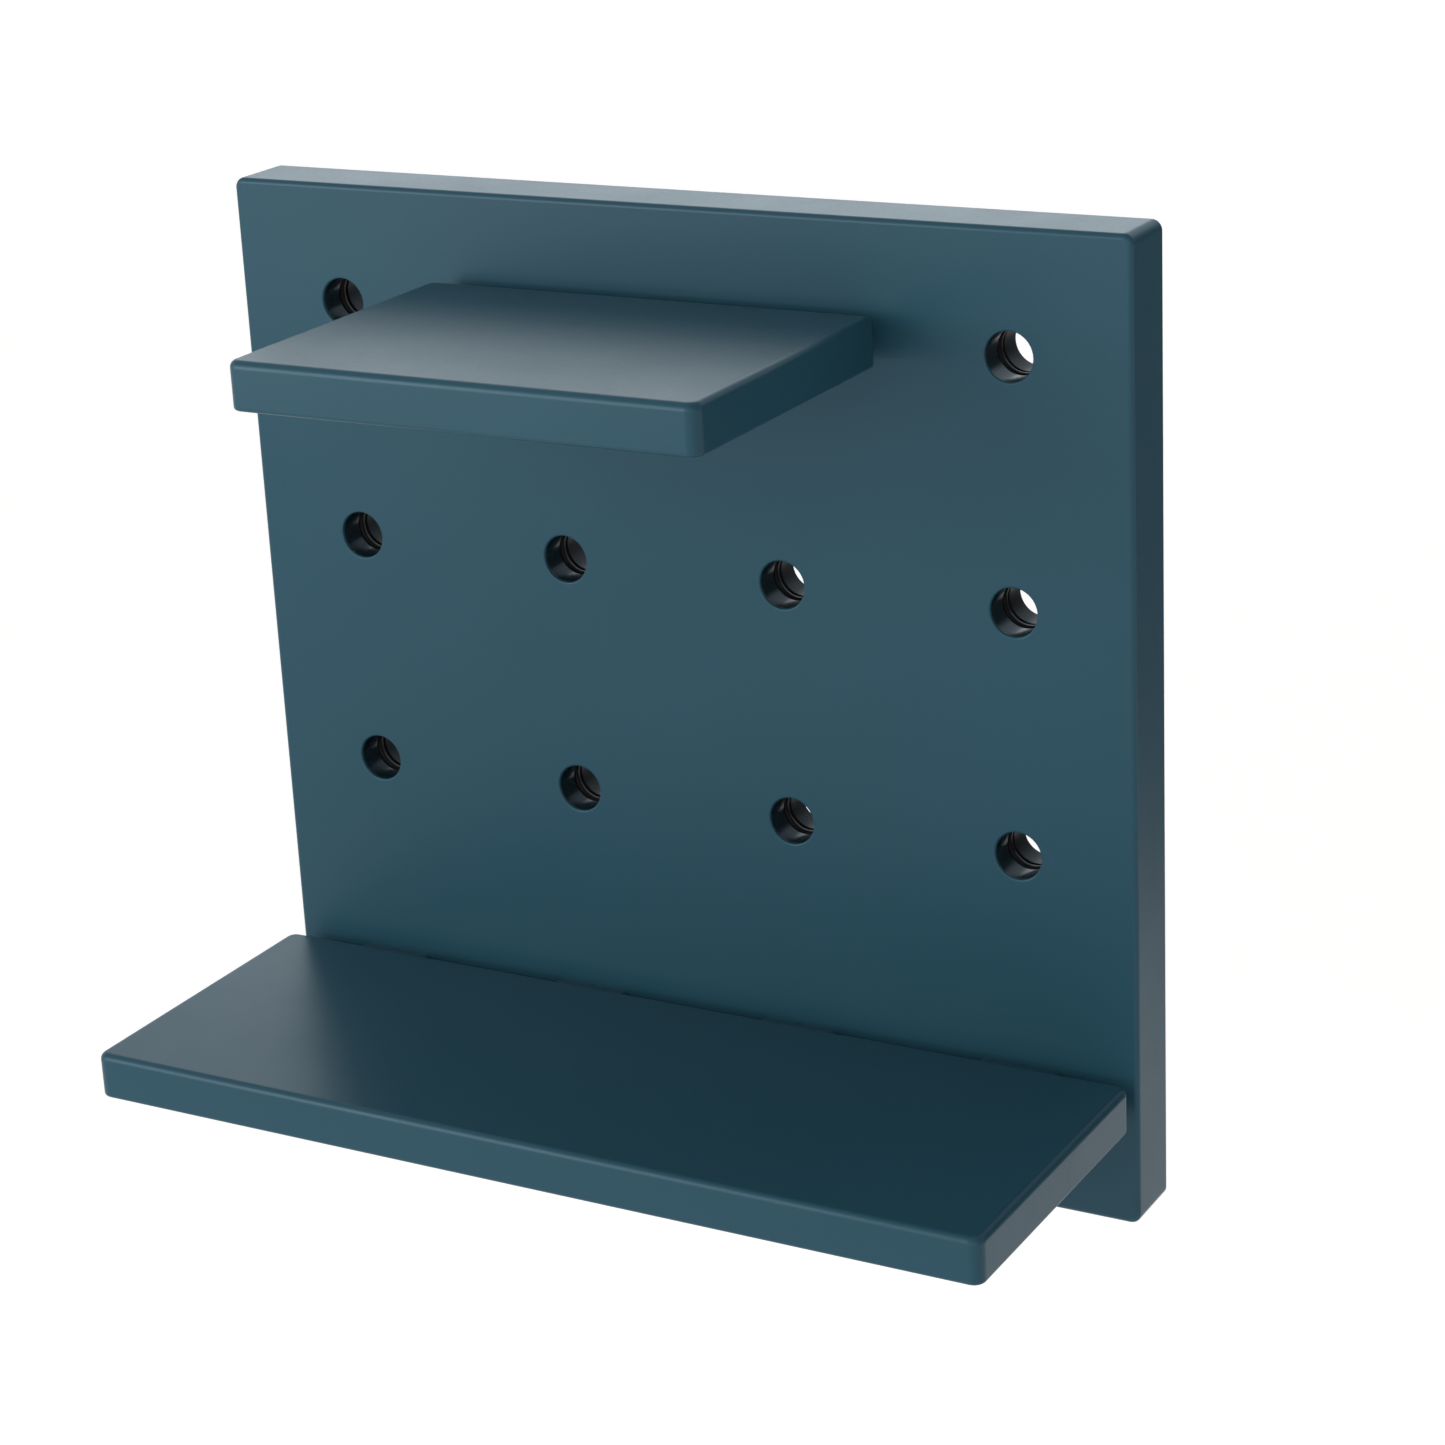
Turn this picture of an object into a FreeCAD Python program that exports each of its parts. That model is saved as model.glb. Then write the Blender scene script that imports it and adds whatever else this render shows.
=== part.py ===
"""Wall-hung peg board with two plug-in shelves.

The board is a hollow moulding with a 4 by 4 grid of holes. A rear cover closes it, and a soft
ring trapped behind each hole grips whatever is pushed in. Each shelf is a hollow slab whose
round pegs each have a stop bar at the root that keeps the shelf just off the board, so a shelf
pulls straight off, towards -Y.

Frame: +X to the right, +Y into the wall, +Z up. The origin is the middle of the board on the
wall's surface. Lengths are in millimetres.
"""

import FreeCAD, Part
import os

import Sketcher
from FreeCAD import Vector

ROWS = 4
COLUMNS = 4
DRIVING_SIZES = [
    ("panel_width", 240, "board, side to side"),
    ("panel_height", 240, "board, bottom to top"),
    ("panel_depth", 17, "board, front face to rear edge"),
    ("panel_corner", 2.5, "rounding of the board's outline"),
    ("panel_edge", 1.3, "rounding of the board's front edge"),
    ("skin", 2.5, "thickness of every outer face"),
    ("skirt", 2.6, "thickness of the side walls"),
    ("lip", 1.3, "thickness of a side wall beside its cover"),
    ("cover_thickness", 2.2, "rear cover and shelf bases"),
    ("cover_gap", 0.2, "gap all round a cover"),
    ("hole_pitch", 60, "hole to hole, both ways"),
    ("hole_lift", 0.6, "middle of the hole grid above the middle of the board"),
    ("hole_radius", 5.9, "wall of a peg hole"),
    ("hole_edge", 0.5, "rounding of a peg hole's mouth"),
    ("overcut", 1, "a cut that goes right through runs this far past the face"),
    ("tube_radius", 11.2, "outside of the tube behind a hole"),
    ("tube_lip", 2.4, "the tube's rim, beyond the ring's seat"),
    ("rear_tube_radius", 8.8, "outside of the cover's tube"),
    ("seat_depth", 7, "front face to the seat of the grip ring"),
    ("ring_section", 4, "thickness of the grip ring"),
    ("ring_bore", 5.68, "inside radius of the grip ring"),
    ("rib_thickness", 1.6, "stiffening ribs"),
    ("rib_height", 5, "stiffening ribs behind the board's face"),
    ("boss_radius", 3.6, "screw posts"),
    ("pilot_radius", 1.25, "hole down a screw post"),
    ("screw_hole", 1.7, "clearance hole for a screw"),
    ("screw_head", 3.3, "radius of a countersunk head"),
    ("shank_radius", 1.2, "screw below its head"),
    ("screw_length", 7, "screw, head to tip"),
    ("pilot_spare", 1, "pilot hole beyond the screw's tip"),
    ("recess_length", 3.2, "cross in a screw's head, end to end"),
    ("recess_width", 0.8, "cross in a screw's head"),
    ("recess_depth", 1.1, "cross in a screw's head"),
    ("pad_proud", 1, "adhesive pads stand out of the rear cover"),
    ("pad_recess", 0.5, "pads sink into the rear cover"),
    ("pad_width", 34, "adhesive pad, side to side"),
    ("pad_height", 16, "adhesive pad, bottom to top"),
    ("pad_corner", 2, "rounding of a pad's outline"),
    ("pad_rise", 105, "middle of an outer pad above or below the board's middle"),
    ("keyhole_entry", 4.5, "radius that lets a screw head in"),
    ("keyhole_neck", 2.3, "half width of a keyhole's slot"),
    ("keyhole_rise", 9, "entry centre to the slot's end"),
    ("shelf_depth", 83.5, "shelf, front to back"),
    ("shelf_thickness", 11.6, "shelf, top to underside"),
    ("shelf_lift", 2.7, "middle of a shelf's thickness above its pegs"),
    ("shelf_corner", 3, "rounding of a shelf's outline"),
    ("shelf_edge", 1.8, "rounding of a shelf's top edge"),
    ("shelf_lower_edge", 0.9, "rounding of a shelf's lower edge"),
    ("stand_off", 5, "gap between a shelf and the board"),
    ("peg_radius", 5.6, "shaft of a peg"),
    ("peg_reach", 15.5, "shaft beyond the board's face"),
    ("peg_chamfer", 1.2, "lead-in at a peg's tip"),
    ("stop_width", 24, "stop bar across a peg's root"),
    ("stop_height", 7, "stop bar across a peg's root"),
    ("stop_corner", 3, "rounding of a stop bar's ends"),
    ("spigot_radius", 2.8, "peg inside the shelf"),
    ("spigot_length", 11, "peg inside the shelf"),
    ("spigot_spare", 0.5, "socket beyond the spigot's end"),
    ("socket_half_width", 7, "block that holds a spigot"),
    ("socket_length", 14, "block that holds a spigot"),
    ("post_inset", 9, "screw posts in from a shelf's edges"),
    ("shelf_rib_pitch", 30, "ribs under a shelf's top"),
]

document = FreeCAD.newDocument("pegboard")
sheet = document.addObject("Spreadsheet::Sheet", "sizes")
for line, (alias, value, meaning) in enumerate(DRIVING_SIZES, start=1):
    sheet.set(f"A{line}", meaning)
    sheet.set(f"B{line}", str(value))
    sheet.setAlias(f"B{line}", alias)
document.recompute()


def size(alias):
    """The value of one driving dimension."""
    return float(sheet.get(alias))


def value_of(expression):
    """The value of an expression in the driving dimensions."""
    return float(sheet.evalExpression(expression))


# --- shared sketch and feature helpers -------------------------------------------------------


def plane_of(body, role):
    """One of a body's own origin planes."""
    return next(f for f in body.Origin.OriginFeatures if f.Role == role)


def new_sketch(body, name, role, offset=None):
    """A sketch on an origin plane, moved along the plane's normal by an expression."""
    sketch = body.newObject("Sketcher::SketchObject", name)
    sketch.AttachmentSupport = [(plane_of(body, role), "")]
    sketch.MapMode = "FlatFace"
    if offset:
        sketch.setExpression("AttachmentOffset.Base.z", offset)
    return sketch


def drive(sketch, constraint, expression):
    """Add a constraint and bind its value to an expression."""
    index = sketch.addConstraint(constraint)
    sketch.setExpression(f"Constraints[{index}]", expression)


def add_rectangle(sketch, left, bottom, right, top):
    """Four sides; each corner's distances from the sketch's origin are expressions."""
    low = Vector(-2, -2, 0)
    high = Vector(2, 2, 0)
    corners = [low, Vector(high.x, low.y, 0), high, Vector(low.x, high.y, 0)]
    first = sketch.GeometryCount
    for side in range(4):
        sketch.addGeometry(Part.LineSegment(corners[side], corners[(side + 1) % 4]), False)
    for side in range(4):
        following = first + (side + 1) % 4
        sketch.addConstraint(Sketcher.Constraint("Coincident", first + side, 2, following, 1))
        direction = "Horizontal" if side % 2 == 0 else "Vertical"
        sketch.addConstraint(Sketcher.Constraint(direction, first + side))
    drive(sketch, Sketcher.Constraint("DistanceX", -1, 1, first, 1, low.x), left)
    drive(sketch, Sketcher.Constraint("DistanceY", -1, 1, first, 1, low.y), bottom)
    drive(sketch, Sketcher.Constraint("DistanceX", -1, 1, first + 2, 1, high.x), right)
    drive(sketch, Sketcher.Constraint("DistanceY", -1, 1, first + 2, 1, high.y), top)


def add_centred_rectangle(sketch, width, height):
    """A rectangle about the sketch's origin; width and height are expressions."""
    add_rectangle(
        sketch, f"-({width}) / 2", f"-({height}) / 2", f"({width}) / 2", f"({height}) / 2"
    )


def add_circles(sketch, radius, centres):
    """Equal circles at centres given as pairs of expressions."""
    for index, (x, y) in enumerate(centres):
        circle = sketch.addGeometry(Part.Circle(Vector(1, 1, 0), Vector(0, 0, 1), 1), False)
        drive(sketch, Sketcher.Constraint("DistanceX", -1, 1, circle, 3, 1), x)
        drive(sketch, Sketcher.Constraint("DistanceY", -1, 1, circle, 3, 1), y)
        if index == 0:
            leader = circle
            drive(sketch, Sketcher.Constraint("Radius", circle, 1), radius)
        else:
            sketch.addConstraint(Sketcher.Constraint("Equal", leader, circle))


def add_outline(sketch, corners):
    """A closed outline through corners, each a pair of expressions in the driving sizes."""
    first = sketch.GeometryCount
    count = len(corners)
    points = [Vector(*(value_of(expression) for expression in corner)) for corner in corners]
    for index, point in enumerate(points):
        sketch.addGeometry(Part.LineSegment(point, points[(index + 1) % count]), False)
    for index, (x, y) in enumerate(corners):
        side = first + index
        point = points[index]
        sketch.addConstraint(
            Sketcher.Constraint("Coincident", side, 2, first + (index + 1) % count, 1)
        )
        drive(sketch, Sketcher.Constraint("DistanceX", -1, 1, side, 1, point.x), x)
        drive(sketch, Sketcher.Constraint("DistanceY", -1, 1, side, 1, point.y), y)


def raise_from(body, name, sketch, length, backwards=False):
    """Pad a sketch by an expression, along its normal or backwards."""
    pad = body.newObject("PartDesign::Pad", name)
    pad.Profile = sketch
    pad.Reversed = backwards
    pad.setExpression("Length", length)
    document.recompute()
    body.Tip = pad
    return pad


def cut_from(body, name, sketch, length, forwards=True):
    """Pocket a sketch by an expression, along its normal when forwards, and check that it cut."""
    before = body.Tip.Shape.Volume
    pocket = body.newObject("PartDesign::Pocket", name)
    pocket.Profile = sketch
    pocket.Reversed = forwards
    pocket.setExpression("Length", length)
    document.recompute()
    if pocket.Shape.Volume >= before:
        raise RuntimeError(f"{body.Label}: {name} cut nothing")
    body.Tip = pocket
    return pocket


def edges_that(feature, test):
    """Names of a feature's edges that pass a test."""
    return [f"Edge{i}" for i, edge in enumerate(feature.Shape.Edges, start=1) if test(edge)]


def runs_along(edge, axis):
    """True for a straight edge parallel to an axis."""
    return (
        edge.Curve.TypeId == "Part::GeomLine"
        and abs(abs(edge.Curve.Direction.dot(axis)) - 1) < 1e-6
    )


def lies_at(edge, axis, level):
    """True for an edge that lies wholly in the plane at a level along an axis."""
    box = edge.BoundBox
    low = Vector(box.XMin, box.YMin, box.ZMin).dot(axis)
    high = Vector(box.XMax, box.YMax, box.ZMax).dot(axis)
    return abs(low - level) < 1e-3 and abs(high - level) < 1e-3


def dress(body, kind, name, measure, test):
    """Fillet or chamfer the tip's edges that pass a test; measure is an expression."""
    base = body.Tip
    feature = body.newObject(f"PartDesign::{kind}", name)
    feature.Base = (base, edges_that(base, test))
    feature.setExpression("Radius" if kind == "Fillet" else "Size", measure)
    document.recompute()
    body.Tip = feature
    return feature


def place(node, x="0", y="0", z="0"):
    """Bind a node's place in the frame to three expressions."""
    node.setExpression("Placement.Base.x", x)
    node.setExpression("Placement.Base.y", y)
    node.setExpression("Placement.Base.z", z)


def new_body(name):
    """A PartDesign body whose label names its file."""
    body = document.addObject("PartDesign::Body", name)
    body.Label = name
    return body


def cylinder(name, radius, height):
    """A Part cylinder driven by two expressions."""
    solid = document.addObject("Part::Cylinder", name)
    solid.setExpression("Radius", radius)
    solid.setExpression("Height", height)
    return solid


AXIS_X = Vector(1, 0, 0)
AXIS_Y = Vector(0, 1, 0)
AXIS_Z = Vector(0, 0, 1)
nodes = []


# --- where the holes and posts are -----------------------------------------------------------


def column_x(column):
    """A column of holes, counted from the left."""
    return f"{column - (COLUMNS - 1) / 2} * sizes.hole_pitch"


def row_z(row):
    """A row of holes, counted from the top."""
    return f"{(ROWS - 1) / 2 - row} * sizes.hole_pitch + sizes.hole_lift"


hole_centres = [(column_x(c), row_z(r)) for r in range(ROWS) for c in range(COLUMNS)]

# the middles of the cells between the holes: two take keyholes, one a pad, the others posts
cell_middles = [(across, up) for up in (1, 0, -1) for across in (-1, 0, 1)]
keyhole_cells = [(-1, 1), (1, 1)]
pad_cell = (0, 0)
post_cells = [cell for cell in cell_middles if cell not in keyhole_cells + [pad_cell]]


def cell_centre(cell):
    """The middle of a cell between four holes, as two expressions."""
    return (
        f"{cell[0]} * sizes.hole_pitch",
        f"{cell[1]} * sizes.hole_pitch + sizes.hole_lift",
    )


post_centres = [cell_centre(cell) for cell in post_cells]

# --- board front: one moulding with its skirt, hole tubes, ribs and screw posts --------------
# Its own frame has y = 0 at the rear edge, so depths run towards -Y, the XZ sketches' normal.

panel_front = new_body("panel_front")
place(panel_front, y="-sizes.pad_proud")
outline = new_sketch(panel_front, "front_outline", "XZ_Plane")
add_centred_rectangle(outline, "sizes.panel_width", "sizes.panel_height")
raise_from(panel_front, "front_block", outline, "sizes.panel_depth")
dress(
    panel_front,
    "Fillet",
    "front_corners",
    "sizes.panel_corner",
    lambda edge: runs_along(edge, AXIS_Y),
)
dress(
    panel_front,
    "Fillet",
    "front_edge",
    "sizes.panel_edge",
    lambda edge: lies_at(edge, AXIS_Y, -size("panel_depth")),
)

cavity = new_sketch(panel_front, "front_cavity_outline", "XZ_Plane")
add_centred_rectangle(
    cavity, "sizes.panel_width - 2 * sizes.skirt", "sizes.panel_height - 2 * sizes.skirt"
)
cut_from(panel_front, "front_cavity", cavity, "sizes.panel_depth - sizes.skin")
ledge = new_sketch(panel_front, "front_ledge_outline", "XZ_Plane")
add_centred_rectangle(
    ledge, "sizes.panel_width - 2 * sizes.lip", "sizes.panel_height - 2 * sizes.lip"
)
cut_from(panel_front, "front_ledge", ledge, "sizes.cover_thickness")

rib_span = "sizes.panel_width / 2 - sizes.skirt / 2"
for name, upright in (("front_ribs_upright", True), ("front_ribs_level", False)):
    ribs = new_sketch(panel_front, f"{name}_outline", "XZ_Plane", "sizes.panel_depth - sizes.skin")
    for step in (-1, 0, 1):
        middle = f"{step} * sizes.hole_pitch" + ("" if upright else " + sizes.hole_lift")
        near = f"{middle} - sizes.rib_thickness / 2"
        far = f"{middle} + sizes.rib_thickness / 2"
        if upright:
            add_rectangle(ribs, near, f"-({rib_span})", far, rib_span)
        else:
            add_rectangle(ribs, f"-({rib_span})", near, rib_span, far)
    raise_from(panel_front, name, ribs, "sizes.rib_height", backwards=True)

tubes = new_sketch(panel_front, "front_tube_circles", "XZ_Plane", "sizes.panel_depth - sizes.skin")
add_circles(tubes, "sizes.tube_radius", hole_centres)
raise_from(
    panel_front,
    "front_tubes",
    tubes,
    "sizes.seat_depth + sizes.tube_lip - sizes.skin",
    backwards=True,
)
seats = new_sketch(
    panel_front,
    "front_seat_circles",
    "XZ_Plane",
    "sizes.panel_depth - sizes.seat_depth - sizes.tube_lip",
)
add_circles(seats, "sizes.ring_bore + sizes.ring_section + sizes.cover_gap", hole_centres)
cut_from(panel_front, "front_seats", seats, "sizes.tube_lip")

posts = new_sketch(panel_front, "front_post_circles", "XZ_Plane", "sizes.cover_thickness")
add_circles(posts, "sizes.boss_radius", post_centres)
raise_from(
    panel_front, "front_posts", posts, "sizes.panel_depth - sizes.skin - sizes.cover_thickness"
)
pilots = new_sketch(panel_front, "front_pilot_circles", "XZ_Plane", "sizes.cover_thickness")
add_circles(pilots, "sizes.pilot_radius", post_centres)
pilot_length = "sizes.screw_length - sizes.cover_thickness + sizes.pilot_spare"
cut_from(panel_front, "front_pilots", pilots, pilot_length)

bores = new_sketch(panel_front, "front_bore_circles", "XZ_Plane")
add_circles(bores, "sizes.hole_radius", hole_centres)
cut_from(panel_front, "front_bores", bores, "sizes.panel_depth + sizes.overcut")
dress(
    panel_front,
    "Fillet",
    "front_bore_mouths",
    "sizes.hole_edge",
    lambda edge: edge.Curve.TypeId == "Part::GeomCircle"
    and lies_at(edge, AXIS_Y, -size("panel_depth"))
    and abs(edge.Curve.Radius - size("hole_radius")) < 1e-3,
)
nodes.append(panel_front)

# --- rear cover: sits in the skirt, with a short tube behind each grip ring ------------------

back_cover = new_body("back_cover")
place(back_cover, y="-sizes.pad_proud")
plate = new_sketch(back_cover, "cover_outline", "XZ_Plane")
add_centred_rectangle(
    plate,
    "sizes.panel_width - 2 * sizes.lip - 2 * sizes.cover_gap",
    "sizes.panel_height - 2 * sizes.lip - 2 * sizes.cover_gap",
)
raise_from(back_cover, "cover_plate", plate, "sizes.cover_thickness")
rear_tubes = new_sketch(back_cover, "cover_tube_circles", "XZ_Plane", "sizes.cover_thickness")
add_circles(rear_tubes, "sizes.rear_tube_radius", hole_centres)
raise_from(
    back_cover,
    "cover_tubes",
    rear_tubes,
    "sizes.panel_depth - sizes.seat_depth - sizes.ring_section - sizes.cover_thickness",
)
rear_bores = new_sketch(back_cover, "cover_bore_circles", "XZ_Plane")
add_circles(rear_bores, "sizes.hole_radius", hole_centres)
cut_from(back_cover, "cover_bores", rear_bores, "sizes.panel_depth")

screw_holes = new_sketch(back_cover, "cover_screw_circles", "XZ_Plane")
add_circles(screw_holes, "sizes.screw_hole", post_centres)
cut_from(back_cover, "cover_screw_holes", screw_holes, "sizes.cover_thickness + sizes.overcut")
dress(
    back_cover,
    "Chamfer",
    "cover_countersinks",
    "sizes.screw_head - sizes.screw_hole",
    lambda edge: edge.Curve.TypeId == "Part::GeomCircle"
    and lies_at(edge, AXIS_Y, 0)
    and abs(edge.Curve.Radius - size("screw_hole")) < 1e-3,
)

entries = new_sketch(back_cover, "cover_keyhole_entries", "XZ_Plane")
add_circles(entries, "sizes.keyhole_entry", [cell_centre(cell) for cell in keyhole_cells])
cut_from(back_cover, "cover_keyholes", entries, "sizes.cover_thickness + sizes.overcut")
necks = new_sketch(back_cover, "cover_keyhole_necks", "XZ_Plane")
for cell in keyhole_cells:
    x, z = cell_centre(cell)
    left = f"{x} - sizes.keyhole_neck"
    right = f"{x} + sizes.keyhole_neck"
    add_rectangle(necks, left, z, right, f"{z} + sizes.keyhole_rise")
cut_from(back_cover, "cover_keyhole_slots", necks, "sizes.cover_thickness + sizes.overcut")
dress(
    back_cover,
    "Fillet",
    "cover_keyhole_ends",
    "sizes.keyhole_neck - 0.05",
    lambda edge: runs_along(edge, AXIS_Y)
    and abs(
        edge.BoundBox.ZMax - size("hole_pitch") - size("hole_lift") - size("keyhole_rise")
    ) < 1e-3,
)

pad_places = [pad_cell] + [(across, up) for up in (1, -1) for across in (-1, 1)]


def pad_centre(across, up):
    """The middle of the central pad or of one near a corner of the board, as two expressions."""
    return (f"{across} * sizes.hole_pitch", f"{up} * sizes.pad_rise")


recesses = new_sketch(back_cover, "cover_pad_recesses", "XZ_Plane")
for pad_place in pad_places:
    x, z = pad_centre(*pad_place)
    half_width = "(sizes.pad_width / 2 + sizes.cover_gap)"
    half_height = "(sizes.pad_height / 2 + sizes.cover_gap)"
    left = f"{x} - {half_width}"
    right = f"{x} + {half_width}"
    add_rectangle(recesses, left, f"{z} - {half_height}", right, f"{z} + {half_height}")
cut_from(back_cover, "cover_recesses", recesses, "sizes.pad_recess")
nodes.append(back_cover)

# --- grip rings: a soft O-ring trapped between the two tubes of every hole -------------------

for row in range(ROWS):
    for column in range(COLUMNS):
        ring = document.addObject("Part::Torus", f"grip_ring_{row + 1}_{column + 1}")
        ring.Label = ring.Name
        ring.setExpression("Radius1", "sizes.ring_bore + sizes.ring_section / 2")
        ring.setExpression("Radius2", "sizes.ring_section / 2")
        ring.Placement.Rotation = FreeCAD.Rotation(AXIS_X, 90)
        seat_y = "sizes.seat_depth + sizes.ring_section / 2 - sizes.panel_depth - sizes.pad_proud"
        place(ring, column_x(column), seat_y, row_z(row))
        nodes.append(ring)

# --- adhesive pads: strips of foam tape between the cover and the wall ------------------------

for number, pad_place in enumerate(pad_places, start=1):
    slab = document.addObject("Part::Box", f"pad_slab_{number}")
    slab.setExpression("Length", "sizes.pad_width")
    slab.setExpression("Width", "sizes.pad_proud + sizes.pad_recess")
    slab.setExpression("Height", "sizes.pad_height")
    x, z = pad_centre(*pad_place)
    thickness = "-sizes.pad_proud - sizes.pad_recess"
    place(slab, f"{x} - sizes.pad_width / 2", thickness, f"{z} - sizes.pad_height / 2")
    document.recompute()
    pad = document.addObject("Part::Fillet", f"wall_pad_{number}")
    pad.Label = pad.Name
    pad.Base = slab
    pad.Edges = [
        (i, size("pad_corner"), size("pad_corner"))
        for i, edge in enumerate(slab.Shape.Edges, start=1)
        if runs_along(edge, AXIS_Y)
    ]
    nodes.append(pad)


# --- screws: countersunk, with a crossed recess, one group for each cover --------------------


def add_screw(name, direction, x, y, z):
    """One countersunk screw; direction is where its tip points, x, y, z its head's middle."""
    turn = FreeCAD.Rotation(AXIS_Z, direction)
    head = document.addObject("Part::Cone", f"{name}_head")
    head.setExpression("Radius1", "sizes.screw_head")
    head.setExpression("Radius2", "sizes.screw_hole")
    head.setExpression("Height", "sizes.screw_head - sizes.screw_hole")
    shank = cylinder(f"{name}_shank", "sizes.shank_radius", "sizes.screw_length")
    whole = document.addObject("Part::MultiFuse", f"{name}_whole")
    whole.Shapes = [head, shank]
    wings = []
    spans = ("sizes.recess_length", "sizes.recess_width")
    for wing, (across, up) in (("level", spans), ("upright", spans[::-1])):
        box = document.addObject("Part::Box", f"{name}_{wing}")
        box.setExpression("Length", across)
        box.setExpression("Width", up)
        box.setExpression("Height", "sizes.recess_depth")
        place(box, f"-{across} / 2", f"-{up} / 2")
        wings.append(box)
    recess = document.addObject("Part::MultiFuse", f"{name}_recess")
    recess.Shapes = wings
    screw = document.addObject("Part::Cut", name)
    screw.Base = whole
    screw.Tool = recess
    screw.Placement.Rotation = turn
    place(screw, x, y, z)
    return screw


def group_screws(name, screws):
    """A node that holds several separate, identical screws."""
    group = document.addObject("Part::Compound", name)
    group.Label = name
    group.Links = screws
    nodes.append(group)


group_screws(
    "cover_screws",
    [
        add_screw(f"cover_screw_{number}", Vector(0, -1, 0), x, "-sizes.pad_proud", z)
        for number, (x, z) in enumerate(post_centres, start=1)
    ],
)


# --- shelves: a top moulding, a base, and pegs pressed into sockets in its back wall ---------
# A shelf's own frame has y = 0 at its back and z = 0 at mid-thickness.


def build_shelf(name, row, first_column, columns):
    """One shelf that plugs into several neighbouring holes of a row and is as wide as them."""
    width = f"({columns} * sizes.hole_pitch)"
    middle_x = f"{first_column + (columns - 1) / 2 - (COLUMNS - 1) / 2} * sizes.hole_pitch"
    back_y = "-sizes.pad_proud - sizes.panel_depth - sizes.stand_off"
    level = f"{row_z(row)} + sizes.shelf_lift"
    peg_offsets = [f"{k - (columns - 1) / 2} * sizes.hole_pitch" for k in range(columns)]
    half = "sizes.shelf_thickness / 2"
    under_skin = f"{half} - sizes.skin"
    on_base = f"-{half} + sizes.cover_thickness"

    def slab_outline(sketch, inset):
        left = f"-{width} / 2 + {inset}"
        right = f"{width} / 2 - {inset}"
        add_rectangle(sketch, left, f"-sizes.shelf_depth + {inset}", right, f"-({inset})")

    post_x = [f"{side} * ({width} / 2 - sizes.post_inset)" for side in (-1, 1)]
    post_y = ["-sizes.post_inset", "-sizes.shelf_depth + sizes.post_inset"]
    corner_posts = [(x, y) for x in post_x for y in post_y]
    between = [f"{k - columns / 2 + 1} * sizes.hole_pitch" for k in range(columns - 1)]
    middle_posts = [(x, y) for x in between for y in post_y]
    shelf_posts = corner_posts + middle_posts

    deck = new_body(f"{name}_deck")
    place(deck, middle_x, back_y, level)
    slab = new_sketch(deck, f"{name}_slab_outline", "XY_Plane", f"-{half}")
    slab_outline(slab, "0")
    raise_from(deck, f"{name}_slab", slab, "sizes.shelf_thickness")
    dress(
        deck, "Fillet", f"{name}_corners", "sizes.shelf_corner", lambda e: runs_along(e, AXIS_Z)
    )
    top = size("shelf_thickness") / 2
    dress(
        deck, "Fillet", f"{name}_top_edge", "sizes.shelf_edge", lambda e: lies_at(e, AXIS_Z, top)
    )
    dress(
        deck,
        "Fillet",
        f"{name}_lower_edge",
        "sizes.shelf_lower_edge",
        lambda e: lies_at(e, AXIS_Z, -top),
    )
    hollow = new_sketch(deck, f"{name}_hollow_outline", "XY_Plane", f"-{half}")
    slab_outline(hollow, "sizes.skirt")
    cut_from(deck, f"{name}_hollow", hollow, "sizes.shelf_thickness - sizes.skin")
    rest = new_sketch(deck, f"{name}_ledge_outline", "XY_Plane", f"-{half}")
    slab_outline(rest, "(sizes.lip + sizes.cover_gap)")
    cut_from(deck, f"{name}_ledge", rest, "sizes.cover_thickness")

    depth_inside = "sizes.shelf_thickness - sizes.skin - sizes.cover_thickness"
    sockets = new_sketch(deck, f"{name}_socket_outlines", "XY_Plane", under_skin)
    for x in peg_offsets:
        left = f"{x} - sizes.socket_half_width"
        right = f"{x} + sizes.socket_half_width"
        add_rectangle(sockets, left, "-sizes.socket_length", right, "-sizes.skirt / 2")
    raise_from(deck, f"{name}_sockets", sockets, depth_inside, backwards=True)
    ribs = new_sketch(deck, f"{name}_rib_outlines", "XY_Plane", under_skin)
    rib_count = round(columns * size("hole_pitch") / size("shelf_rib_pitch")) - 1
    for step in range(rib_count):
        x = f"{step - (rib_count - 1) / 2} * sizes.shelf_rib_pitch"
        left = f"{x} - sizes.rib_thickness / 2"
        right = f"{x} + sizes.rib_thickness / 2"
        front = "-sizes.shelf_depth + sizes.skirt / 2"
        add_rectangle(ribs, left, front, right, "-sizes.skirt / 2")
    raise_from(deck, f"{name}_ribs", ribs, "sizes.rib_height", backwards=True)
    posts = new_sketch(deck, f"{name}_post_circles", "XY_Plane", under_skin)
    add_circles(posts, "sizes.boss_radius", shelf_posts)
    raise_from(deck, f"{name}_posts", posts, depth_inside, backwards=True)
    pilots = new_sketch(deck, f"{name}_pilot_circles", "XY_Plane", on_base)
    add_circles(pilots, "sizes.pilot_radius", shelf_posts)
    cut_from(deck, f"{name}_pilots", pilots, f"{pilot_length} - sizes.pilot_spare / 2")
    spigots = new_sketch(deck, f"{name}_spigot_circles", "XZ_Plane")
    add_circles(spigots, "sizes.spigot_radius", [(x, "0") for x in peg_offsets])
    cut_from(deck, f"{name}_spigot_holes", spigots, "sizes.spigot_length + sizes.spigot_spare")
    nodes.append(deck)

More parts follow.
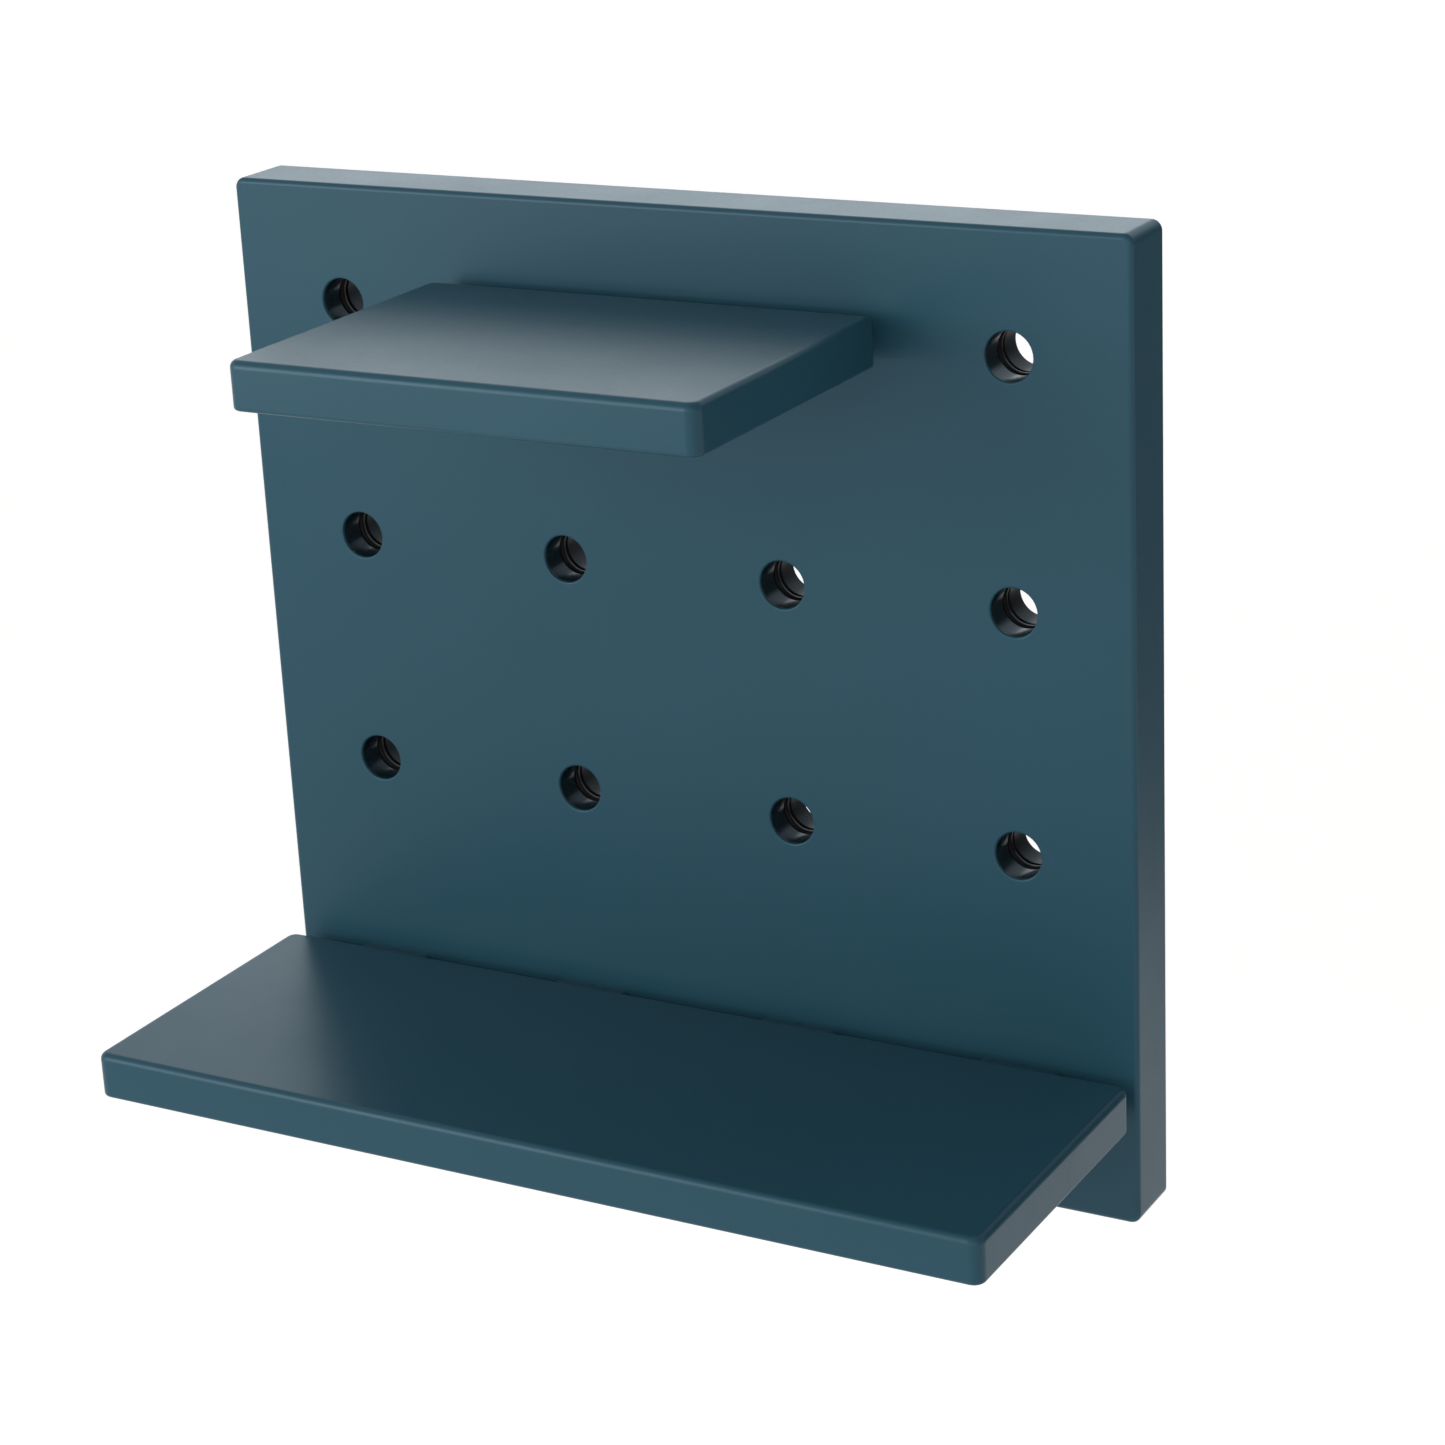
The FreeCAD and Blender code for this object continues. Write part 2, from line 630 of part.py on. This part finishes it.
    base = new_body(f"{name}_base")
    place(base, middle_x, back_y, level)
    plate = new_sketch(base, f"{name}_base_outline", "XY_Plane", f"-{half}")
    slab_outline(plate, "(sizes.lip + 2 * sizes.cover_gap)")
    raise_from(base, f"{name}_base_plate", plate, "sizes.cover_thickness")
    holes = new_sketch(base, f"{name}_base_circles", "XY_Plane", f"-{half}")
    add_circles(holes, "sizes.screw_hole", shelf_posts)
    cut_from(base, f"{name}_base_holes", holes, "sizes.cover_thickness + sizes.overcut")
    dress(
        base,
        "Chamfer",
        f"{name}_countersinks",
        "sizes.screw_head - sizes.screw_hole",
        lambda e: e.Curve.TypeId == "Part::GeomCircle" and lies_at(e, AXIS_Z, -top),
    )
    nodes.append(base)

    group_screws(
        f"{name}_screws",
        [
            add_screw(
                f"{name}_screw_{number}",
                AXIS_Z,
                f"{x} + {middle_x}",
                f"{y} + ({back_y})",
                f"-{half} + {level}",
            )
            for number, (x, y) in enumerate(shelf_posts, start=1)
        ],
    )
    for number, x in enumerate(peg_offsets, start=1):
        build_peg(f"{name}_peg_{number}", f"{x} + {middle_x}", back_y, row_z(row))


def build_peg(name, x, y, z):
    """A round peg with a stop bar at its root and, a little higher, a spigot inside the shelf."""
    peg = new_body(name)
    place(peg, x, y, z)
    tip = "sizes.stand_off + sizes.peg_reach"
    corners = [
        ("0", "0"),
        ("sizes.peg_radius", "0"),
        ("sizes.peg_radius", f"{tip} - sizes.peg_chamfer"),
        ("sizes.peg_radius - sizes.peg_chamfer", tip),
        ("0", tip),
    ]
    profile = new_sketch(peg, f"{name}_profile", "XY_Plane")
    add_outline(profile, corners)
    shaft = peg.newObject("PartDesign::Revolution", f"{name}_shaft")
    shaft.Profile = profile
    shaft.ReferenceAxis = (profile, ["V_Axis"])
    shaft.Angle = 360
    document.recompute()
    peg.Tip = shaft
    stop = new_sketch(peg, f"{name}_stop_outline", "XZ_Plane")
    add_rectangle(
        stop,
        "-sizes.stop_width / 2",
        "sizes.shelf_lift - sizes.stop_height / 2",
        "sizes.stop_width / 2",
        "sizes.shelf_lift + sizes.stop_height / 2",
    )
    raise_from(peg, f"{name}_stop", stop, "sizes.stand_off", backwards=True)
    dress(
        peg,
        "Fillet",
        f"{name}_stop_ends",
        "sizes.stop_corner",
        lambda edge: runs_along(edge, AXIS_Y) and abs(edge.BoundBox.XMax) > size("peg_radius"),
    )
    spigot = new_sketch(peg, f"{name}_spigot_circle", "XZ_Plane")
    add_circles(spigot, "sizes.spigot_radius", [("0", "sizes.shelf_lift")])
    raise_from(peg, f"{name}_spigot", spigot, "sizes.spigot_length")
    nodes.append(peg)


build_shelf("upper", row=0, first_column=1, columns=2)
build_shelf("lower", row=3, first_column=0, columns=4)

# --- check every object and write one file for each node -------------------------------------

document.recompute()
for item in document.Objects:
    if "Invalid" in item.State or "Error" in item.State:
        raise RuntimeError(f"{item.Label} did not recompute: {item.State}")
os.makedirs("parts", exist_ok=True)
for node in nodes:
    shape = node.Shape
    if shape.isNull() or not shape.isValid():
        raise RuntimeError(f"{node.Label} has no valid shape")
    shape.exportStep(f"parts/{node.Label}.step")
    box = shape.BoundBox
    print(
        f"{node.Label}: {len(shape.Solids)} solid(s), {shape.Volume:.0f} mm3,"
        f" {box.XLength:.1f} x {box.YLength:.1f} x {box.ZLength:.1f}"
    )
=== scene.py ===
import math

import bpy
import numpy as np
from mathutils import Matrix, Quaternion, Vector


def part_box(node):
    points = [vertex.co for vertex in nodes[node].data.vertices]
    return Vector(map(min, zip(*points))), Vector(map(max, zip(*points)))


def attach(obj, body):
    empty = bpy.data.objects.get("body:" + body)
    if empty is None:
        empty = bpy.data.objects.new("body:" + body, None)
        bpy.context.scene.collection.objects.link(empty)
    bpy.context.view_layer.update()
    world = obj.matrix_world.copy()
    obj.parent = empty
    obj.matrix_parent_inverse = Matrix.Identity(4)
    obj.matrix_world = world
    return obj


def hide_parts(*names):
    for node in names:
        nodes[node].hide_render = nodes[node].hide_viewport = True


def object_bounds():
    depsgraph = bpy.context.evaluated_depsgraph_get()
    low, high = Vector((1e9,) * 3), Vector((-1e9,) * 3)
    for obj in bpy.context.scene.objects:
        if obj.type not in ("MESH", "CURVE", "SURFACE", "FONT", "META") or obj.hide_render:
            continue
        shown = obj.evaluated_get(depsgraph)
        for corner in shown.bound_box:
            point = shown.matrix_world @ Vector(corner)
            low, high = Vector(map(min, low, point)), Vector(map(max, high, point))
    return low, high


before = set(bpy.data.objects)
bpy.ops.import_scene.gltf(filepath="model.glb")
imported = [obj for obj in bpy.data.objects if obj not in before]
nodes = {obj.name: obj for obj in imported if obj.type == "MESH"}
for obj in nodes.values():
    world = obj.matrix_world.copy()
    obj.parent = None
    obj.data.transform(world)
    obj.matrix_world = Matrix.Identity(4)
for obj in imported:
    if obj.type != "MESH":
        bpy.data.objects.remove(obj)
cad_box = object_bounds()
board_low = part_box("panel_front")[0]

# --- Board front -----------------------------------------------------------------------------
# One hollow injection moulding in a slate-blue plastic, coloured right through. The tool is
# spark-eroded on the outer faces, which leaves a fine grain and a satin gloss there. The walls
# of the peg holes come from polished pins and are smoother, with painted shade darkening them.


class Signal:
    """A number that varies over a surface. Arithmetic on it adds Math nodes to its graph."""

    def __init__(self, graph, socket):
        self.graph = graph
        self.socket = socket

    def __add__(self, other):
        return self.graph.maths("ADD", self, other)

    def __sub__(self, other):
        return self.graph.maths("SUBTRACT", self, other)

    def __rsub__(self, other):
        return self.graph.maths("SUBTRACT", other, self)

    def __mul__(self, other):
        return self.graph.maths("MULTIPLY", self, other)

    def __lt__(self, other):
        return self.graph.maths("LESS_THAN", self, other)

    def __gt__(self, other):
        return self.graph.maths("GREATER_THAN", self, other)

    __radd__ = __add__
    __rmul__ = __mul__

    def clamped(self):
        """The same number kept between 0 and 1."""
        return self.graph.maths("ADD", self, 0.0, use_clamp=True)


class Graph:
    """The nodes behind one finish, or behind the studio's surroundings."""

    def __init__(self, tree):
        self.tree = tree

    def node(self, kind, settings=None, inputs=None, output=0):
        """One node: its settings first, then the values or links of its inputs."""
        made = self.tree.nodes.new(kind)
        for name, value in (settings or {}).items():
            setattr(made, name, value)
        for name, value in (inputs or {}).items():
            self.feed(made.inputs[name], value)
        return Signal(self, made.outputs[output])

    def feed(self, socket, value):
        """Links a signal into a socket, or sets the socket to a constant."""
        if isinstance(value, Signal):
            self.tree.links.new(value.socket, socket)
        else:
            socket.default_value = value

    def maths(self, operation, first, second, **settings):
        """One Math node."""
        return self.node("ShaderNodeMath", {"operation": operation, **settings}, {0: first, 1: second})

    def blend(self, share, first, second):
        """A colour share of the way from the first to the second."""
        return self.node(
            "ShaderNodeMix", {"data_type": "RGBA"}, {0: share, 6: first, 7: second}, output=2
        )

    def place(self):
        """Where a point is, in metres."""
        return self.node("ShaderNodeTexCoord", output="Object")

    def axes(self, direction):
        """The three numbers of a place or direction."""
        split = "ShaderNodeSeparateXYZ"
        return [self.node(split, {}, {0: direction}, output=axis) for axis in range(3)]

    def noise(self, grain, detail=2.0, roughness=0.5):
        """Smooth noise whose lumps are about grain metres across."""
        inputs = {"Vector": self.place(), "Scale": 1 / grain, "Detail": detail, "Roughness": roughness}
        return self.node("ShaderNodeTexNoise", {}, inputs)


class Finish(Graph):
    """A material: one Principled shader, and whatever varies over the surface."""

    def __init__(self, name, **constants):
        self.material = bpy.data.materials.new(name)
        self.material.use_nodes = True
        super().__init__(self.material.node_tree)
        self.shader = self.tree.nodes["Principled BSDF"]
        for socket, value in constants.items():
            self.paint(socket, value)

    def paint(self, socket, value):
        """Sets or feeds one socket of the shader, named with _ for each space."""
        self.feed(self.shader.inputs[socket.replace("_", " ")], value)

    def relief(self, height, depth):
        """Raises the surface by height, from 0 to 1, times depth in metres."""
        bump = self.node("ShaderNodeBump", {}, {"Height": height, "Distance": depth, "Strength": 1.0})
        self.paint("Normal", bump)


def coat(finish, *names):
    """Puts one finish on each named CAD node."""
    for name in names:
        slots = nodes[name].data.materials
        slots.clear()
        slots.append(finish.material)


cloud_size = 0.06
cloud_share = 0.7
flecks_per_grain = 3
fleck_share = 0.3
handling_size = 0.035
handling_roughness = 0.12
fleck_roughness = 0.06
wave_size = 0.03
wave_height = 4.0
cool_shine = (0.70, 0.86, 1.0, 1.0)
# How dark the painted shade inside the peg holes makes their walls, as a share of the dark slate.
bore_painted_shade_tone = 0.30
polished_gloss = 0.13
polished_flatness = 0.8


def moulded_plastic(name, light, dark, specular, base_roughness, grain_size, grain_depth, bore=None):
    """Spark-grained plastic: fine grain, faint clouds in the colour, and gloss that wanders.
    bore makes a mask of the walls that a polished pin forms, which come out plain and glossier,
    with painted shade darkening their colour."""
    finish = Finish(name, Specular_IOR_Level=specular, Specular_Tint=cool_shine)
    clouds = finish.noise(cloud_size, 3.0)
    flecks = finish.noise(grain_size * flecks_per_grain, 2.0)
    tone = (clouds * cloud_share + flecks * fleck_share).clamped()
    colour = finish.blend(tone, (*dark, 1.0), (*light, 1.0))
    handled = finish.noise(handling_size, 4.0, 0.6)
    roughness = (handled - 0.5) * handling_roughness + flecks * fleck_roughness + base_roughness
    grain = finish.noise(grain_size, 3.0, 0.6)
    waves = finish.noise(wave_size, 1.0)
    relief = grain + waves * wave_height
    if bore:
        # Inside the holes: less roughness and relief from the polished pin, and a darker colour that
        # is painted shade.
        polish_and_painted_shade = bore(finish)
        painted_shade_bore_colour = (*(channel * bore_painted_shade_tone for channel in dark), 1.0)
        colour = finish.blend(polish_and_painted_shade, colour, painted_shade_bore_colour)
        roughness = roughness - polish_and_painted_shade * polished_gloss
        relief = relief * (1.0 - polish_and_painted_shade * polished_flatness)
    finish.paint("Base_Color", colour)
    finish.paint("Roughness", roughness)
    finish.relief(relief, grain_depth)
    return finish


def middle_of(low, high):
    """The middle of a box."""
    return (np.array(low) + np.array(high)) / 2


first_hole = middle_of(*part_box("grip_ring_1_1"))
second_hole = middle_of(*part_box("grip_ring_1_2"))
hole_pitch = float(second_hole[0] - first_hole[0])
bore_radius = 0.0062
mouth_depth = 0.0008


def off_axis(finish, place, first):
    """How far a place is from the nearest hole's axis along one direction, in hole pitches."""
    return finish.maths("FRACT", (place - first) * (1 / hole_pitch) + 0.5, 0.0) - 0.5


def hole_walls(finish):
    """1 inside a peg hole, behind its rounded mouth, and 0 elsewhere."""
    across, deep, up = finish.axes(finish.place())
    off_x = off_axis(finish, across, first_hole[0])
    off_z = off_axis(finish, up, first_hole[2])
    near_axis = off_x * off_x + off_z * off_z < (bore_radius / hole_pitch) ** 2
    return near_axis * (deep > board_low.y + mouth_depth)


slate_light = (0.0122, 0.0500, 0.0720)
slate_dark = (0.0098, 0.0430, 0.0625)
slate_plastic = moulded_plastic(
    "slate_plastic",
    slate_light,
    slate_dark,
    specular=0.27,
    base_roughness=0.33,
    grain_size=0.0005,
    grain_depth=0.00001,
    bore=hole_walls,
)
coat(slate_plastic, "panel_front")

# --- Rear cover ------------------------------------------------------------------------------
# A flat moulding in black plastic that closes the hollow board. It carries a tube behind
# each hole, so the far end of every hole is this darker colour. Six screws hold it.

black_light = (0.020, 0.021, 0.023)
black_dark = (0.013, 0.014, 0.015)
black_plastic = moulded_plastic(
    "black_plastic",
    black_light,
    black_dark,
    specular=0.18,
    base_roughness=0.42,
    grain_size=0.0007,
    grain_depth=0.000016,
)
coat(black_plastic, "back_cover")

# --- Grip rings ------------------------------------------------------------------------------
# One soft black rubber ring in each hole, trapped between the front and the cover. Two fine
# grooves in its bore leave a lip between them that squeezes a peg.

ring_turns = 96
section_points = 72
groove_depth = 0.00022
groove_width = 0.16
groove_turn = 0.52


def mottle(finish, pattern, dark, light, roughness, spread):
    """Colour and roughness that both follow one pattern."""
    finish.paint("Base_Color", finish.blend(pattern, (*dark, 1.0), (*light, 1.0)))
    finish.paint("Roughness", pattern * spread + roughness)


rubber = Finish("ring_rubber", Specular_IOR_Level=0.22)
bloom = rubber.noise(0.002, 3.0)
mottle(rubber, bloom, (0.004, 0.004, 0.005), (0.010, 0.010, 0.011), roughness=0.36, spread=0.15)
rubber.relief(rubber.noise(0.0003, 2.0), 0.000006)


def skin(name, rows, finish, capped=False):
    """A closed mesh over an array of rows of points, where each row is a loop. The last row
    joins the first, or, where capped, one face fills each end."""
    row_count, loop_count = rows.shape[:2]
    row = np.arange(row_count - 1 if capped else row_count)[:, None]
    step = np.arange(loop_count)[None, :]
    next_row = (row + 1) % row_count
    next_step = (step + 1) % loop_count
    corners = [(row, step), (row, next_step), (next_row, next_step), (next_row, step)]
    indices = [corner_row * loop_count + corner_step for corner_row, corner_step in corners]
    faces = np.stack(indices, axis=-1).reshape(-1, 4).tolist()
    if capped:
        first = np.arange(loop_count)
        last = first + (row_count - 1) * loop_count
        faces += [first[::-1].tolist(), last.tolist()]
    mesh = bpy.data.meshes.new(name)
    mesh.from_pydata(rows.reshape(-1, 3).tolist(), [], faces)
    mesh.shade_smooth()
    mesh.materials.append(finish.material)
    piece = bpy.data.objects.new(name, mesh)
    bpy.context.scene.collection.objects.link(piece)
    return piece


def ring_rows(low, high):
    """A round section carried round the hole's axis. At the angle s from the point nearest
    the axis, the section's radius is half the ring's thickness less
    groove_depth * exp(-((|s| - groove_turn) / groove_width)^2)."""
    centre = middle_of(low, high)
    section_radius = (high.y - low.y) / 2
    middle_radius = (high.x - low.x) / 2 - section_radius
    around = np.linspace(0, 2 * np.pi, ring_turns, endpoint=False)[:, None]
    section = np.linspace(-np.pi, np.pi, section_points, endpoint=False)[None, :]
    groove = np.exp(-(((np.abs(section) - groove_turn) / groove_width) ** 2))
    reach = section_radius - groove_depth * groove
    radius = middle_radius - reach * np.cos(section)
    return np.stack(
        [
            centre[0] + radius * np.cos(around),
            centre[1] - reach * np.sin(section) + 0 * around,
            centre[2] + radius * np.sin(around),
        ],
        axis=-1,
    )


for node in sorted(name for name in nodes if name.startswith("grip_ring")):
    ring = skin(node.replace("grip", "rubber"), ring_rows(*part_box(node)), rubber)
    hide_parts(node)
    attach(ring, "board")

# --- Adhesive pads ---------------------------------------------------------------------------
# Strips of white foam tape, die-cut with rounded corners, sunk in shallow seats in the cover.
# The foam's sides draw in between its two sticky faces.

pad_corner = 0.002
pad_pinch = 0.00022
pad_rim = 0.00012
pad_outline_points = 96
pad_layers = 15

foam = Finish("pad_foam", Specular_IOR_Level=0.3)
cells = foam.noise(0.0012, 4.0, 0.7)
mottle(foam, cells, (0.62, 0.61, 0.58), (0.80, 0.79, 0.76), roughness=0.7, spread=0.2)
foam.relief(cells, 0.00012)


def pad_rows(low, high):
    """A rounded rectangle carried from the seat to the wall. At the height h, from -1 to 1,
    it stands in from its box by pad_pinch * cos(pi * h / 2) + pad_rim * h^16."""
    centre = middle_of(low, high)
    half = (np.array(high) - np.array(low)) / 2
    turn = (np.arange(pad_outline_points) + 0.5) / pad_outline_points * 2 * np.pi
    height = np.linspace(-1, 1, pad_layers)[:, None]
    inset = pad_pinch * np.cos(height * np.pi / 2) + pad_rim * height**16
    corner = pad_corner - inset
    across = np.cos(turn)[None, :]
    up = np.sin(turn)[None, :]
    return np.stack(
        [
            centre[0] + np.sign(across) * (half[0] - pad_corner) + corner * across,
            centre[1] - height * half[1] + 0 * across,
            centre[2] + np.sign(up) * (half[2] - pad_corner) + corner * up,
        ],
        axis=-1,
    )


for node in sorted(name for name in nodes if name.startswith("wall_pad")):
    pad = skin(node.replace("wall", "foam"), pad_rows(*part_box(node)), foam, capped=True)
    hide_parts(node)
    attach(pad, "board")

# --- Shelves ---------------------------------------------------------------------------------
# Each shelf is a hollow deck with a base plate screwed up into it. All four mouldings are in
# the board's own plastic, from the same kind of spark-eroded tool.

coat(slate_plastic, "upper_deck", "lower_deck", "upper_base", "lower_base")

# --- Pegs ------------------------------------------------------------------------------------
# Round pegs with a stop bar at the root, moulded in a polished tool and glued into the shelf's
# back edge.

peg_plastic = moulded_plastic(
    "peg_plastic",
    slate_light,
    slate_dark,
    specular=0.3,
    base_roughness=0.26,
    grain_size=0.0008,
    grain_depth=0.000004,
)
coat(peg_plastic, *(name for name in nodes if "_peg_" in name))

# --- Screws ----------------------------------------------------------------------------------
# Small countersunk self-tapping screws with a cross in the head, zinc plated. They hold the
# cover on the board and the base plates on the shelves.

zinc = Finish("screw_zinc", Metallic=1.0)
tarnish = zinc.noise(0.0016, 4.0, 0.6)
mottle(zinc, tarnish, (0.52, 0.53, 0.55), (0.68, 0.69, 0.70), roughness=0.22, spread=0.2)
zinc.relief(zinc.noise(0.0004, 2.0), 0.000008)
coat(zinc, "cover_screws", "upper_screws", "lower_screws")

# --- Studio ----------------------------------------------------------------------------------
# A pale, faintly glowing floor well below the board, surroundings that are brightest near the
# horizon in front and behind, and three soft lamps on the left: a key, a close fill and a rim.
# A dark card behind on the right, hidden from the camera, dims what the board reflects there.

floor_drop = 1.0
floor_reach = 40.0
floor_height = board_low.z - floor_drop
corner_signs = ((-1, -1), (1, -1), (1, 1), (-1, 1))


def add_sheet(name, corners, finish):
    """A flat sheet with four corners."""
    mesh = bpy.data.meshes.new(name)
    mesh.from_pydata(corners, [], [(0, 1, 2, 3)])
    mesh.materials.append(finish.material)
    sheet = bpy.data.objects.new(name, mesh)
    bpy.context.scene.collection.objects.link(sheet)
    return sheet


paper = Finish(
    "floor_paper",
    Base_Color=(0.92, 0.92, 0.92, 1),
    Roughness=0.9,
    Emission_Color=(1.0, 0.88, 0.82, 1),
    Emission_Strength=0.35,
)
floor_corners = [(x * floor_reach, y * floor_reach, floor_height) for x, y in corner_signs]
floor = add_sheet("floor", floor_corners, paper)

glow_behind = 2.1
glow_in_front = 2.5
glow_above = 0.32
loss_on_right = 0.16
glow_everywhere = 0.33
cool_gain = 1.2
white_sky = (1.0, 1.0, 1.0, 1.0)
cool_sky = (0.78, 0.92, 1.0, 1.0)

world = bpy.data.worlds.new("studio")
world.use_nodes = True
bpy.context.scene.world = world
sky = Graph(world.node_tree)
rightward, rearward, upward = sky.axes(sky.node("ShaderNodeTexCoord", output="Generated"))
lowness = 1.0 - sky.maths("ABSOLUTE", upward, 0.0)
behind = sky.maths("MAXIMUM", rearward, 0.0)
in_front = sky.maths("MAXIMUM", rearward * -1.0, 0.0)
above = sky.maths("MAXIMUM", upward, 0.0)
horizon = lowness * lowness * (behind * glow_behind + in_front * glow_in_front)
strength = horizon + above * glow_above - rightward * loss_on_right + glow_everywhere
background = world.node_tree.nodes["Background"]
sky.feed(background.inputs["Color"], sky.blend((behind * cool_gain).clamped(), white_sky, cool_sky))
sky.feed(background.inputs["Strength"], strength)


def outward(azimuth, elevation):
    """A direction away from the object; azimuth 0 is in front, and 90 to the right."""
    turn = math.radians(azimuth)
    rise = math.radians(elevation)
    return Vector(
        (math.sin(turn) * math.cos(rise), -math.cos(turn) * math.cos(rise), math.sin(rise))
    )


def add_lamp(name, azimuth, elevation, distance, width, power):
    """A square area lamp that faces the middle of the object."""
    lamp = bpy.data.lights.new(name, "AREA")
    lamp.size = width
    lamp.energy = power
    holder = bpy.data.objects.new(name, lamp)
    bpy.context.scene.collection.objects.link(holder)
    direction = outward(azimuth, elevation)
    holder.location = middle + direction * distance
    holder.rotation_mode = "QUATERNION"
    holder.rotation_quaternion = direction.to_track_quat("Z", "Y")


middle = (cad_box[0] + cad_box[1]) / 2
add_lamp("key", azimuth=-42, elevation=16, distance=1.5, width=0.7, power=5.5)
add_lamp("fill", azimuth=-30, elevation=16, distance=0.55, width=0.3, power=0.85)
add_lamp("rim", azimuth=-150, elevation=30, distance=1.5, width=0.8, power=1.8)

card_left, card_right = 0.22, 1.5
card_bottom, card_top = -0.45, 0.45
card_y = 0.9
card_corners = [
    (card_left, card_y, card_bottom),
    (card_right, card_y, card_bottom),
    (card_right, card_y, card_top),
    (card_left, card_y, card_top),
]
flag_cloth = Finish("flag_cloth", Base_Color=(0.02, 0.02, 0.02, 1), Roughness=0.9)
card = add_sheet("flag", card_corners, flag_cloth)
card.visible_camera = False
card.visible_shadow = False

# --- Camera ----------------------------------------------------------------------------------
# A short telephoto lens, in front of the board, to its right and a little above it. It is
# rolled slightly about its own axis.

camera_distance = 0.8291
camera_roll = math.radians(-2.80)
camera_aim = Vector((0.0239, -0.0387, 0.0022))
backward = outward(29.76, 19.62)
lens = bpy.data.cameras.new("camera")
lens.sensor_width = 36.0
lens.lens = 87.73
camera = bpy.data.objects.new("camera", lens)
bpy.context.scene.collection.objects.link(camera)
camera.location = camera_aim + backward * camera_distance
camera.rotation_mode = "QUATERNION"
camera.rotation_quaternion = backward.to_track_quat("Z", "Y") @ Quaternion((0, 0, 1), camera_roll)
bpy.context.scene.camera = camera
bpy.context.scene.view_settings.view_transform = "Standard"
